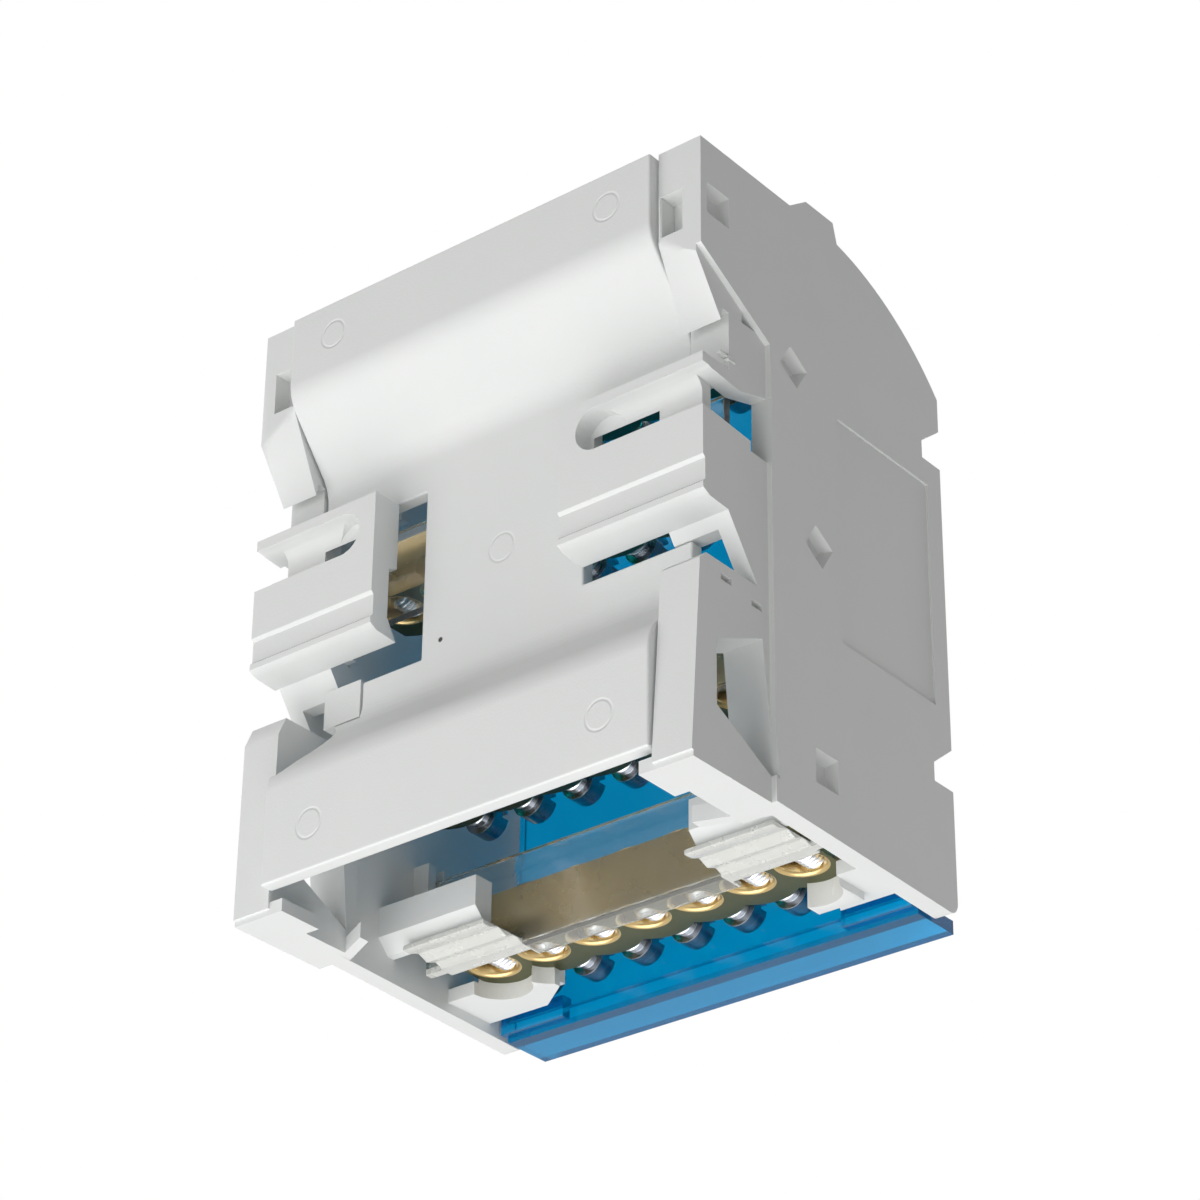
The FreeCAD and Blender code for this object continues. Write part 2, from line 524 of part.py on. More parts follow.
doc.recompute()
soften(plate, "plate_bends", shell, on_bend, radius="ramp_round")
through = ("-plate_sink - plate_wall - spill", "%s + spill" % PLATE_FACE)
slab(plate, "left_window", left_end + " - spill", "window_play_left - %s" % left_cheek.root,
     [box_loop(*through, "-window_low_left", "window_top")], cut=True)
slab(plate, "right_window", "%s - window_play_right" % right_cheek.root, right_end + " + spill",
     [box_loop(*through, "-window_low_right", "window_top")], cut=True)
notch_end = "%s - tongue_far - notch_play" % right_cheek.plane
slab(plate, "tongue_notch", notch_end, right_end + " + spill",
     [box_loop(*through, tongue_low + " - notch_play", "-window_low_right + weld")], cut=True)
bore(plate, "post_scallop", "%s + spill" % PLATE_FACE, "%s + plate_wall + 2 * spill" % PLATE_FACE,
     [("circle", right_end, "-(%s + scallop_gap)" % RAIL_TOP, "scallop_radius")])

# Front cover: flat front and curved brow, finger lip along the bottom, hinge ears at the top.
cover = new_body("front_cover")
half = "(%s - cover_gap)" % INNER
skin = "(front_edge - cover_inset)"
inside = "cover_wall - %s" % skin
tail = "(ear_depth - brow_tail)"
lip_low = "(-lip_drop - case_bottom)"
under = "brow_gap + cover_wall"
lip_high, kerb_high = lip_low + " + lip_height", lip_low + " + kerb_height"
profile = [("-%s" % skin, lip_high), ("-front_edge - lip_front", lip_high),
           ("-front_edge - lip_front", lip_low), ("lip_back - front_edge", lip_low),
           ("lip_back - front_edge", kerb_high), (inside, kerb_high),
           (inside, brow("%s - cover_wall" % skin, under), "brow_radius - brow_gap - cover_wall"),
           ("-%s" % tail, brow(tail, under)),
           ("-%s" % tail, brow(tail, "brow_gap"), "brow_gap - brow_radius"),
           ("-%s" % skin, brow(skin, "brow_gap"))]
slab(cover, "cover_skin", "-" + half, half, [profile])
catch_back = "lip_back - front_edge"
catch_foot = lip_low + " + catch_lift"
catch = box_loop(catch_back + " - weld", catch_back + " + catch_depth",
                 catch_foot, catch_foot + " + catch_height")
for name, side in (("left", -1), ("right", 1)):
    def ends(inner, outer, side=side):
        return (inner, outer) if side > 0 else ("-(%s)" % outer, "-(%s)" % inner)

    slab(cover, name + "_catch", *ends(half + " - catch_length", half), [catch])
    slab(cover, name + "_ear", *ends(half + " - ear_width", half),
         [("circle", HINGE_Y, HINGE_Z, "ear_radius")])
    slab(cover, name + "_pin", *ends(half + " - weld", half + " + pin_length"),
         [("circle", HINGE_Y, HINGE_Z, "pin_radius")])

# Bars: a straight back with a scalloped row of lobes, each with a wire hole and a tapped hole.
for row in ROWS:
    bar = new_body("%s_bar" % row)
    y, z = row_y(row), row_z(row)
    bottom, top = "%s - bar_height / 2" % z, "%s + bar_height / 2" % z
    first = "-%s" % LAST_WAY
    layer(bar, row + "_strip", bottom, top,
          [box_loop("-" + BAR_HALF, BAR_HALF, "%s - lobe_shoulder" % y, "%s + bar_back" % y)])
    lobe = prism(bar, row + "_lobe", "XY_Plane", bottom, first, y, "lobe_radius", "bar_height",
                 "lobe_sides")
    repeat(bar, row + "_lobes", lobe, "way_spacing", "ways")
    hole = prism(bar, row + "_wire_hole", "XY_Plane", bottom + " - spill", first, y, "wire_radius",
                 "bar_height + 2 * spill", "lobe_sides", cut=True)
    repeat(bar, row + "_wire_holes", hole, "way_spacing", "ways")
    tap = prism(bar, row + "_tap", "XZ_Plane", "-(%s)" % y, first, z + " - screw_drop", "tap_radius",
                "lobe_radius + spill", "tap_sides", cut=True)
    repeat(bar, row + "_taps", tap, "way_spacing", "ways")

# Carriers: a clear sheet behind each bar with a lip at the wire side, and end blocks on the lowest.
for row in ROWS:
    carrier = new_body("%s_carrier" % row)
    side = entry(row)
    front = sheet_face(row)
    reach = "(%s - sheet_gap)" % INNER
    edge = "(%s + %d * (bar_height / 2 + sheet_play + lip_wall))" % (row_z(row), side)
    sheet_ends = [edge, "%s - %d * sheet_height" % (edge, side)]
    lip_ends = [edge, "%s - %d * lip_wall" % (edge, side)]
    layer(carrier, row + "_sheet", *sheet_ends[:: -side],
          [box_loop("-" + reach, reach, front, front + " + sheet_wall")])
    layer(carrier, row + "_lip", *lip_ends[:: -side],
          [box_loop("-lip_half", "lip_half", front + " - lip_reach", front + " + weld")])
    if row == "lower_front":
        roof = "(%s + lip_wall)" % edge
        nose = "(%s - block_front)" % front
        heel = "(%s + sheet_wall + block_back)" % front
        flutes = [("%s + %d * flute_wide" % (nose, k), edge if k % 2 else "%s + flute_deep" % edge)
                  for k in range(1, 6)]
        block = [(heel, roof), (nose, roof), (nose, edge)] + flutes + [(heel, edge)]
        block_end = "(%s - block_inset)" % reach
        slab(carrier, row + "_left_block", "-" + block_end, "-block_start", [block])
        slab(carrier, row + "_right_block", "block_start", block_end, [block])

# Clamp screws: one per way, with a slotted head, its tip in the wire hole.
screws = []
for row in ROWS:
    for way in range(int(number("ways"))):
        screw = new_body("%s_screw_%d" % (row, way + 1))
        bind(screw, "Placement.Base.x", "way_spacing * %d - %s" % (way, LAST_WAY))
        bind(screw, "Placement.Base.y", "%s + tip_back" % row_y(row))
        bind(screw, "Placement.Base.z", row_z(row) + " - screw_drop")
        prism(screw, screw.Label + "_stem", "XZ_Plane", "0", "0", "0", STEM_RADIUS, "stem_length",
              "screw_sides")
        head = prism(screw, screw.Label + "_head", "XZ_Plane", "stem_length", "0", "0", "head_radius",
                     "head_height", "screw_sides")
        screws.append((screw, head))
doc.recompute()

crown = "-(stem_length + head_height)"
crown_place = number(crown)


def on_crown(edge):
    """True for the edges round the head's front face."""
    return all(abs(v.Point.y - crown_place) < 1e-3 for v in edge.Vertexes)


for screw, head in screws:
    soften(screw, screw.Label + "_crown", head, on_crown, chamfer="head_round")
    bore(screw, screw.Label + "_slot", crown + " + driver_depth", "driver_depth + spill",
         [box_loop("-head_radius - spill", "head_radius + spill", "-driver_slot / 2", "driver_slot / 2")])

doc.recompute()

failed = [o.Label for o in doc.Objects if "Invalid" in o.State or "Error" in o.State]
if failed:
    raise RuntimeError("these did not rebuild: " + ", ".join(failed))
for body in PARTS:
    if body.Shape.isNull() or not body.Shape.isValid() or len(body.Shape.Solids) != 1:
        raise RuntimeError("%s is not one sound solid" % body.Label)

os.makedirs("parts", exist_ok=True)
for body in PARTS:
    body.Shape.exportStep("parts/%s.step" % body.Label)
print("%d pieces, %.0f cubic mm" % (len(PARTS), sum(b.Shape.Volume for b in PARTS)))
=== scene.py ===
# %% [markdown]
# # A power distribution block for a mounting rail
# The block is four modules wide: two white moulded cheeks, a stepped back plate with rail hooks and
# clips, brass bars on clear carriers, zinc clamp screws and a see-through blue cover. The solids come
# packed from the CAD model as the frame, so every piece added here is placed in the same frame, in
# metres: X along the rail, the front towards -Y, Z up.

# %% Load the frame
import math
import bpy
import bmesh
from mathutils import Euler, Matrix, Vector


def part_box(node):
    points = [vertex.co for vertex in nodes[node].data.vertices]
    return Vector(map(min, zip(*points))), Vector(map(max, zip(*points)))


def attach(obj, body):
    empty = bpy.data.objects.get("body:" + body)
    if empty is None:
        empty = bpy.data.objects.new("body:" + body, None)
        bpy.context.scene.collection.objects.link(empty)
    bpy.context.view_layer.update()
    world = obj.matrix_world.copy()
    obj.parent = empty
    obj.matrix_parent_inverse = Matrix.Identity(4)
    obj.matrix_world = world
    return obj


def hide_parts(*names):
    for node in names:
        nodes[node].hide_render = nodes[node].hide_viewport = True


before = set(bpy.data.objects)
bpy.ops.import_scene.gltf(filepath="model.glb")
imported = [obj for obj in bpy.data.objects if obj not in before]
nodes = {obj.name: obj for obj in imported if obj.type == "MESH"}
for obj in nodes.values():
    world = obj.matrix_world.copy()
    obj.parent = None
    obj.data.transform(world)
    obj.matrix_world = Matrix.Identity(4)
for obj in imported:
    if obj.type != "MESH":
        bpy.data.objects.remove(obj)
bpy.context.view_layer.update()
MM = 0.001
ROWS = ("lower_front", "lower_rear", "upper_rear", "upper_front")
WAYS = range(1, 8)

# %% [markdown]
# ## Shader maths
# A material is a small graph of nodes. Wiring it by hand takes many lines, so one class wraps a
# socket and turns Python's operators into Math nodes. Its `node` method adds any other kind of node.

# %% The class that wraps a socket
class Field:
    """A value that varies over a surface: one output socket of a material's node."""

    def __init__(self, tree, socket):
        self.tree = tree
        self.socket = socket

    def node(self, kind, settings=None, inputs=None, out=0):
        made = self.tree.nodes.new(kind)
        for key, value in (settings or {}).items():
            setattr(made, key, value)
        for key, value in (inputs or {}).items():
            if isinstance(value, Field):
                self.tree.links.new(value.socket, made.inputs[key])
            else:
                made.inputs[key].default_value = value
        return Field(self.tree, made.outputs[out])

    def math(self, operation, a, b=0.0):
        return self.node("ShaderNodeMath", {"operation": operation}, {0: a, 1: b})

    def __add__(self, other):
        return self.math("ADD", self, other)

    def __sub__(self, other):
        return self.math("SUBTRACT", self, other)

    def __rsub__(self, other):
        return self.math("SUBTRACT", other, self)

    def __mul__(self, other):
        return self.math("MULTIPLY", self, other)

    __radd__ = __add__
    __rmul__ = __mul__


print("the socket class is ready")

# %% [markdown]
# ## Small shader helpers
# Every finish starts from the surface's place in the object's own coordinates, and mixes noise of
# several sizes into colour, roughness and a fine relief.

# %% Helpers for finishes
def new_material(name):
    """A bare material and the field of its surface's place in the object's own coordinates."""
    material = bpy.data.materials.new(name)
    material.use_nodes = True
    material.node_tree.nodes.clear()
    coordinates = material.node_tree.nodes.new("ShaderNodeTexCoord")
    return material, Field(material.node_tree, coordinates.outputs["Object"])


def noise(place, size, detail=3.0, roughness=0.5):
    """Cloudy noise whose blotches are about the given size, from 0 to 1."""
    return place.node("ShaderNodeTexNoise", None, {
        "Vector": place, "Scale": 1.0 / size, "Detail": detail, "Roughness": roughness})


def blend(place, factor, low, high):
    """A colour that goes from low to high with the factor."""
    return place.node("ShaderNodeMix", {"data_type": "RGBA"}, {"Factor": factor, 6: low, 7: high}, out=2)


def bump(place, height, depth, strength=1.0):
    """Surface normals of a relief of that depth, in metres."""
    return place.node("ShaderNodeBump", None, {"Height": height, "Distance": depth, "Strength": strength})


def step(place, value, start, end):
    """A smooth step from 0 to 1 as the value goes from start to end."""
    return place.node("ShaderNodeMapRange", {"interpolation_type": "SMOOTHSTEP"}, {
        "Value": value, "From Min": start, "From Max": end, "To Min": 0.0, "To Max": 1.0})


def distance(place, spot):
    """Distance of the surface from a spot."""
    return place.node("ShaderNodeVectorMath", {"operation": "DISTANCE"}, {0: place, 1: spot}, out=1)


def principled(place, inputs):
    """A Principled shader with these inputs."""
    return place.node("ShaderNodeBsdfPrincipled", None, inputs)


def cover_with(place, surface):
    """Makes a shader the material's surface."""
    output = place.tree.nodes.new("ShaderNodeOutputMaterial")
    place.tree.links.new(surface.socket, output.inputs["Surface"])


def shade(place, inputs):
    """The material's surface: one Principled shader with these inputs."""
    cover_with(place, principled(place, inputs))


def rgb(red, green, blue):
    """A display colour, 0 to 255, as a linear colour for a shader."""
    def linear(v):
        v /= 255
        return v / 12.92 if v <= 0.04045 else ((v + 0.055) / 1.055) ** 2.4
    return (linear(red), linear(green), linear(blue), 1.0)


print("shader helpers ready")

# %% [markdown]
# ## White moulded plastic
# The case is a satin off-white plastic with the very fine texture of a spark-eroded mould. Two
# scales of noise do that: a fine one in the relief, and a broad, faint one in the colour. The back
# plate also shows the faint rings that the mould's ejector pins leave, and one small hole whose shade
# is painted on as a dark spot.

# %% White plastic
STRIP_Y = 7.7
PLATE_Y = -0.4
RING_RADIUS = 1.9 * MM
RING_WIDTH = 0.3 * MM
RINGS = [Vector(spot) * MM for spot in (
    (23.4, STRIP_Y, 34.6), (-21.0, STRIP_Y, 34.6), (23.2, STRIP_Y, -35.0), (-20.7, STRIP_Y, -35.0),
    (1.2, PLATE_Y, -1.3))]
# A small hole's shade is painted on the plate as a dark spot here.
HOLE_SHADE_SPOT = Vector((10.6, PLATE_Y, -10.9)) * MM
HOLE_SHADE_RADIUS = 0.42 * MM
TINT_SIZE = 14 * MM
GRAIN_SIZE = 0.35 * MM
GRAIN_SHARE = 0.25
GRAIN_DEPTH = 0.12 * MM


def white_plastic(name, marked):
    """Satin off-white plastic, with the rings and a small hole's painted shade where it is marked."""
    material, place = new_material(name)
    broad = noise(place, TINT_SIZE, 4.0)
    fine = noise(place, GRAIN_SIZE, 2.0, 0.6)
    colour = blend(place, broad, rgb(226, 228, 227), rgb(233, 234, 232))
    height = fine * GRAIN_SHARE
    if marked:
        for ring in RINGS:
            off = place.math("ABSOLUTE", distance(place, ring) - RING_RADIUS)
            height = height - step(place, off, RING_WIDTH, 0.0)
        # A small hole's shade is painted on as a dark spot.
        hole_shade = step(place, distance(place, HOLE_SHADE_SPOT), HOLE_SHADE_RADIUS, 0.6 * HOLE_SHADE_RADIUS)
        colour = blend(place, hole_shade, colour, rgb(52, 52, 50))
    relief = bump(place, height, GRAIN_DEPTH, 0.6)
    shade(place, {"Base Color": colour, "Roughness": 0.42 + 0.12 * fine, "Normal": relief, "IOR": 1.5})
    return material


WHITE = white_plastic("white_plastic", False)
PLATE = white_plastic("plate_plastic", True)
print("made", WHITE.name, "and", PLATE.name, "with", len(RINGS), "rings")

# %% [markdown]
# ## Blue cover
# The cover is a clear plastic dyed blue. Light that crosses it once comes out bright blue, and its
# edges, where light crosses more of it, look navy. A Principled shader with transmission does this.

# %% Blue plastic
DYE_SIZE = 9 * MM
HAZE_SIZE = 0.8 * MM


def blue_plastic():
    """See-through blue plastic, faintly uneven in its dye and its gloss."""
    material, place = new_material("blue_cover")
    broad = noise(place, DYE_SIZE, 3.0)
    colour = blend(place, broad, rgb(0, 140, 194), rgb(2, 150, 202))
    haze = noise(place, HAZE_SIZE, 2.0)
    shade(place, {"Base Color": colour, "Roughness": 0.10 + 0.08 * haze, "IOR": 1.38,
                  "Transmission Weight": 0.8})
    return material


BLUE = blue_plastic()
print("made", BLUE.name)

# %% [markdown]
# ## Clear carriers
# The bars sit on carriers of clear plastic with fine flow marks from moulding. The thin sheet behind
# a bar is clear enough to show the brass, its lip under the bar looks frosted, and the thick fluted
# ends look milky. Two Principled shaders do that, and a Mix Shader goes from one to the other.

# %% Clear plastic
MILKY_FROM = 15.0 * MM
MILKY_BELOW = -41.05 * MM
MILKY_FADE = 0.2 * MM
LIP_FROST = 0.12
FLOW_SIZE = 3 * MM
FLOW_DEPTH = 0.12 * MM
CLEAR_IOR = 1.45


def clear_plastic():
    """Clear plastic whose lowest part is frosted in the middle and milky at the ends."""
    material, place = new_material("clear_plastic")
    flow = noise(place, FLOW_SIZE, 3.0)
    colour = blend(place, flow, rgb(236, 237, 231), rgb(248, 248, 244))
    relief = bump(place, flow, FLOW_DEPTH, 0.4)
    sheet = principled(place, {"Base Color": colour, "Roughness": 0.02 + 0.08 * flow, "IOR": CLEAR_IOR,
                               "Transmission Weight": 0.95, "Normal": relief})
    ends = principled(place, {"Base Color": colour, "Roughness": 0.22 + 0.1 * flow, "IOR": CLEAR_IOR,
                              "Transmission Weight": 0.3, "Normal": relief})
    along, up = (place.node("ShaderNodeSeparateXYZ", None, {"Vector": place}, out=k) for k in (0, 2))
    outer = step(place, place.math("ABSOLUTE", along), MILKY_FROM, MILKY_FROM + MILKY_FADE)
    lowest = step(place, up, MILKY_BELOW, MILKY_BELOW - MILKY_FADE / 2)
    milky = lowest * (LIP_FROST + (1 - LIP_FROST) * outer)
    cover_with(place, place.node("ShaderNodeMixShader", None, {0: milky, 1: sheet, 2: ends}))
    return material


CLEAR = clear_plastic()
print("made", CLEAR.name)

# %% [markdown]
# ## Brass and zinc
# The bars are drawn and drilled brass: noise stretched along X leaves the drawing lines. Their
# undersides are a dull olive copy of the brass, painted shade, while the drilled rims stay bright.
# The screws are zinc plated, with a faint blotchy passivation, and their heads are a darker copy of
# the zinc, painted shade.

# %% Brass and zinc
LINES_PER_METRE = (60.0, 2200.0, 2200.0)
LINE_DEPTH = 0.03 * MM
STAIN_SIZE = 5 * MM
BLOTCH_SIZE = 1.5 * MM


def brass(name, dark, light, smoothest):
    """Drawn brass, stained from a dark to a light colour; the smoothest stain has that roughness."""
    material, place = new_material(name)
    stretched = place.node("ShaderNodeMapping", None, {"Vector": place, "Scale": LINES_PER_METRE})
    lines = place.node("ShaderNodeTexNoise", None, {"Vector": stretched, "Scale": 1.0, "Detail": 3.0})
    stain = noise(place, STAIN_SIZE, 4.0)
    relief = bump(place, lines, LINE_DEPTH, 0.35)
    shade(place, {"Base Color": blend(place, stain, dark, light), "Metallic": 1.0,
                  "Roughness": smoothest + 0.16 * stain, "Normal": relief})
    return material


def zinc(name, dark, light):
    """Zinc plating, blotched from a dark to a light colour."""
    material, place = new_material(name)
    blotch = noise(place, BLOTCH_SIZE, 4.0)
    shade(place, {"Base Color": blend(place, blotch, dark, light), "Metallic": 1.0,
                  "Roughness": 0.14 + 0.16 * blotch})
    return material


BRASS = brass("brass", rgb(212, 182, 124), rgb(232, 206, 150), 0.2)
# Painted shade: a dull olive copy of the brass for the bars' downward faces.
SHADED_UNDERSIDE_BRASS = brass("shaded_underside_brass", rgb(92, 96, 70), rgb(118, 118, 86), 0.3)
ZINC = zinc("zinc", rgb(196, 200, 206), rgb(222, 224, 228))
# Painted shade: a darker copy of the zinc for the screw heads.
SHADED_HEAD_ZINC = zinc("shaded_head_zinc", rgb(124, 128, 134), rgb(164, 168, 174))
print("made", BRASS.name, SHADED_UNDERSIDE_BRASS.name, ZINC.name, "and", SHADED_HEAD_ZINC.name)

# %% [markdown]
# ## Dressing the solids
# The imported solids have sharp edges. Real mouldings have small radii that catch the light, so each
# solid gets a Weld modifier, which joins its loose triangles, and a Bevel on its sharp edges. The
# Bevel doesn't slide its corners along the neighbouring edges, because that folds thin faces over. A
# Weighted Normal modifier then keeps the broad faces flat and lets only the small radii shade round.

# %% Finishes and rounded edges
SHARP_EDGE = math.radians(32)
FLAT_WEIGHT = 90
WELD_GAP = 0.002 * MM
CASE_EDGE = 0.4 * MM
CASE_SEGMENTS = 3
COVER_EDGE = 0.2 * MM
CARRIER_EDGE = 0.12 * MM


def round_edges(thing, radius, segments=2):
    """Live modifiers for small radii: a bevel on sharp edges, then normals led by the broad faces."""
    rounding = thing.modifiers.new("rounding", "BEVEL")
    rounding.width = radius
    rounding.segments = segments
    rounding.limit_method = "ANGLE"
    rounding.angle_limit = SHARP_EDGE
    rounding.use_clamp_overlap = True
    rounding.loop_slide = False
    flat = thing.modifiers.new("flat_faces", "WEIGHTED_NORMAL")
    flat.mode = "FACE_AREA"
    flat.weight = FLAT_WEIGHT
    flat.keep_sharp = True


def dress(name, material, radius, segments=2):
    """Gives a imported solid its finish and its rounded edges."""
    thing = nodes[name]
    thing.data.materials.clear()
    thing.data.materials.append(material)
    thing.data.shade_smooth()
    weld = thing.modifiers.new("weld", "WELD")
    weld.merge_threshold = WELD_GAP
    round_edges(thing, radius, segments)


for name in ("left_cheek", "right_cheek"):
    dress(name, WHITE, CASE_EDGE, CASE_SEGMENTS)
dress("back_plate", PLATE, CASE_EDGE, CASE_SEGMENTS)
dress("front_cover", BLUE, COVER_EDGE)
for row in ROWS:
    dress(row + "_carrier", CLEAR, CARRIER_EDGE)
print("dressed", 4 + len(ROWS), "solids")

# %% [markdown]
# ## Scalloped bars
# Each bar is a brass section with a row of wire holes and a scalloped front that is thick enough to
# take the screws' threads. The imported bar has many-sided holes, so a rounder one takes its place. A
# boolean would leave ragged faces, so the plan is drawn flat instead: for each way, the hole's circle
# is extruded outwards and pressed against the way's outline. The plans are merged, raised to the bar's
# height, and the rims of the holes are bevelled, as a countersink does.

# %% A new piece from a mesh
def finish_piece(name, shape, materials, body, slot):
    """A new piece from a bmesh, with its finishes, riding on a body."""
    mesh = bpy.data.meshes.new(name)
    shape.to_mesh(mesh)
    for material in materials:
        mesh.materials.append(material)
    mesh.shade_smooth()
    piece = bpy.data.objects.new(name, mesh)
    bpy.context.scene.collection.objects.link(piece)
    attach(piece, body)
    return piece


print("new pieces are finished by", finish_piece.__name__)

# %% Plan of a bar
WAY_SPACING = 7.8 * MM
WIRE_RADIUS = 2.9 * MM
HOLE_SHIFT = 1.1 * MM
BAR_BACK = 4.3 * MM
BAR_FRONT = 5.2 * MM
SCALLOP_RADIUS = 6.0 * MM
HOLE_STEPS = 64
OUTLINE_SPREAD = 3
COUNTERSINK = 0.5 * MM
BAR_EDGE = 0.15 * MM
MIDDLE_WAY = 4
DOWNWARD = -0.99
CLOSE = 0.01 * MM


def way_plan(shape, x):
    """Flat plan of one way: its wire hole in a cell with a curved front. Y is 0 at the lobe's middle."""
    hole = bmesh.ops.create_circle(shape, segments=HOLE_STEPS, radius=WIRE_RADIUS)["verts"]
    circle = list({e for v in hole for e in v.link_edges})
    spread = bmesh.ops.extrude_edge_only(shape, edges=circle)["geom"]
    outline = [v for v in spread if isinstance(v, bmesh.types.BMVert)]
    bmesh.ops.scale(shape, verts=outline, vec=(OUTLINE_SPREAD, OUTLINE_SPREAD, 1))
    for v in outline:
        v.co.x = max(-WAY_SPACING / 2, min(WAY_SPACING / 2, v.co.x))
        hollow = SCALLOP_RADIUS - math.sqrt(SCALLOP_RADIUS ** 2 - v.co.x ** 2)
        v.co.y = max(hollow - BAR_FRONT - HOLE_SHIFT, min(BAR_BACK - HOLE_SHIFT, v.co.y))
    bmesh.ops.translate(shape, verts=hole + outline, vec=(x, HOLE_SHIFT, 0))


def rim_edge(edge):
    """True for an edge of a wire hole's rim, in the bar's lower or upper face."""
    def on_rim(v):
        x = v.co.x - WAY_SPACING * round(v.co.x / WAY_SPACING)
        return abs(math.hypot(x, v.co.y - HOLE_SHIFT) - WIRE_RADIUS) < CLOSE
    return edge.verts[0].co.z == edge.verts[1].co.z and all(on_rim(v) for v in edge.verts)


print("each way is %.1f mm wide" % (WAY_SPACING / MM))

# %% A bar in every row
for row in ROWS:
    low, high = (Vector(corner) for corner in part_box(row + "_bar"))
    shape = bmesh.new()
    for way in WAYS:
        way_plan(shape, (way - MIDDLE_WAY) * WAY_SPACING)
    bmesh.ops.remove_doubles(shape, verts=shape.verts, dist=CLOSE)
    raised = bmesh.ops.extrude_face_region(shape, geom=shape.faces[:], use_keep_orig=True)["geom"]
    top = [v for v in raised if isinstance(v, bmesh.types.BMVert)]
    bmesh.ops.translate(shape, verts=top, vec=(0, 0, high.z - low.z))
    bmesh.ops.recalc_face_normals(shape, faces=shape.faces)
    bmesh.ops.bevel(shape, geom=[e for e in shape.edges if rim_edge(e)], offset=COUNTERSINK,
                    offset_type="OFFSET", affect="EDGES", segments=3, profile=0.5, material=-1)
    # Faces that point down take the dull olive brass, painted shade.
    for face in shape.faces:
        face.material_index = 1 if face.normal.z < DOWNWARD else 0
    bmesh.ops.translate(shape, verts=shape.verts, vec=(0, high.y - BAR_BACK, low.z))
    bar = finish_piece("scalloped_%s_bar" % row, shape, [BRASS, SHADED_UNDERSIDE_BRASS], "case", "brass")
    print(bar.name, "has", len(shape.faces), "faces")
    shape.free()
    round_edges(bar, BAR_EDGE)
    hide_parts(row + "_bar")

# %% [markdown]
# ## Clamp screws
# Each way has a slotted clamp screw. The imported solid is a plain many-sided stem and head, so a finer
# screw takes its place. Turned forms come from `spin`; the thread is a small triangle spun with a
# step along the axis, which makes a helix, and the head's two lands are cut from a disc.

# %% The screw's turned body
STEM = 9.1 * MM
HEAD = 2.6 * MM
HEAD_RADIUS = 2.5 * MM
SLOT_WIDTH = 0.9 * MM
SLOT_DEPTH = 1.2 * MM
ROOT_RADIUS = 1.62 * MM
CREST_RADIUS = 1.9 * MM
TIP_SHARE = 0.75
TIP_CHAMFER = 0.4 * MM
HEAD_ROUNDING = 0.6 * MM
RIM_SHARE = 0.98
LAND_SINK = 0.05 * MM
PITCH = 0.7 * MM
THREAD_START = 0.5 * MM
THREAD_RELIEF = 0.3 * MM
THREAD_SINK = 0.06 * MM
THREAD_STEPS = 20
SCREW_EDGE = 0.06 * MM
STEPS = 28
AXIS = (0, 1, 0)
HAIR = 0.001 * MM


def turned_body(shape):
    """Stem and the lower part of the head, spun about Y: the tip at the origin, the head to -Y."""
    slot_floor = STEM + HEAD - SLOT_DEPTH
    profile = ((0, 0), (TIP_SHARE * ROOT_RADIUS, 0), (ROOT_RADIUS, TIP_CHAMFER), (ROOT_RADIUS, STEM),
               (HEAD_RADIUS, STEM), (HEAD_RADIUS, slot_floor), (0, slot_floor))
    spots = [shape.verts.new((x, -y, 0)) for x, y in profile]
    lines = [shape.edges.new(pair) for pair in zip(spots, spots[1:])]
    bmesh.ops.spin(shape, geom=spots + lines, cent=(0, 0, 0), axis=AXIS, angle=math.tau,
                   steps=STEPS, use_merge=True)
    bmesh.ops.remove_doubles(shape, verts=shape.verts, dist=HAIR)


def head_lands(shape):
    """The two halves of the head's front, either side of the driver's slot."""
    for side in (1, -1):
        made = bmesh.ops.create_circle(shape, cap_ends=True, segments=STEPS, radius=HEAD_RADIUS)
        disc = made["verts"]
        bmesh.ops.rotate(shape, verts=disc, cent=(0, 0, 0), matrix=Matrix.Rotation(math.pi / 2, 3, "X"))
        bmesh.ops.translate(shape, verts=disc, vec=(0, -(STEM + HEAD - SLOT_DEPTH) + LAND_SINK, 0))
        edges = list({e for v in disc for e in v.link_edges})
        faces = list({f for v in disc for f in v.link_faces})
        cut = bmesh.ops.bisect_plane(shape, geom=disc + edges + faces, dist=HAIR, clear_inner=True,
                                     plane_co=(0, 0, side * SLOT_WIDTH / 2), plane_no=(0, 0, side))
        land = [f for f in cut["geom"] if isinstance(f, bmesh.types.BMFace)]
        raised = bmesh.ops.extrude_face_region(shape, geom=land, use_keep_orig=True)["geom"]
        top = [v for v in raised if isinstance(v, bmesh.types.BMVert)]
        bmesh.ops.translate(shape, verts=top, vec=(0, -SLOT_DEPTH - LAND_SINK, 0))
        rim = [e for e in raised if isinstance(e, bmesh.types.BMEdge)
               and all(math.hypot(v.co.x, v.co.z) > RIM_SHARE * HEAD_RADIUS for v in e.verts)]
        bmesh.ops.bevel(shape, geom=rim, offset=HEAD_ROUNDING, offset_type="OFFSET", affect="EDGES",
                        segments=3, profile=0.5, material=-1, clamp_overlap=True)


def thread(shape):
    """A helical ridge on the stem."""
    turns = math.floor((STEM - THREAD_RELIEF - THREAD_START) / PITCH)
    root = ROOT_RADIUS - THREAD_SINK
    section = ((root, 0), (CREST_RADIUS, 0.4 * PITCH), (root, 0.8 * PITCH))
    ridge = [shape.verts.new((x, -THREAD_START - y, 0)) for x, y in section]
    lines = [shape.edges.new((ridge[k], ridge[k - 1])) for k in range(len(section))]
    ends = bmesh.ops.spin(shape, geom=ridge + lines, cent=(0, 0, 0), axis=AXIS, angle=math.tau * turns,
                          steps=THREAD_STEPS * turns, dvec=(0, -PITCH / THREAD_STEPS, 0))
    last = [v for v in ends["geom_last"] if isinstance(v, bmesh.types.BMVert)]
    for triangle in (ridge, last):
        bmesh.ops.contextual_create(shape, geom=triangle)


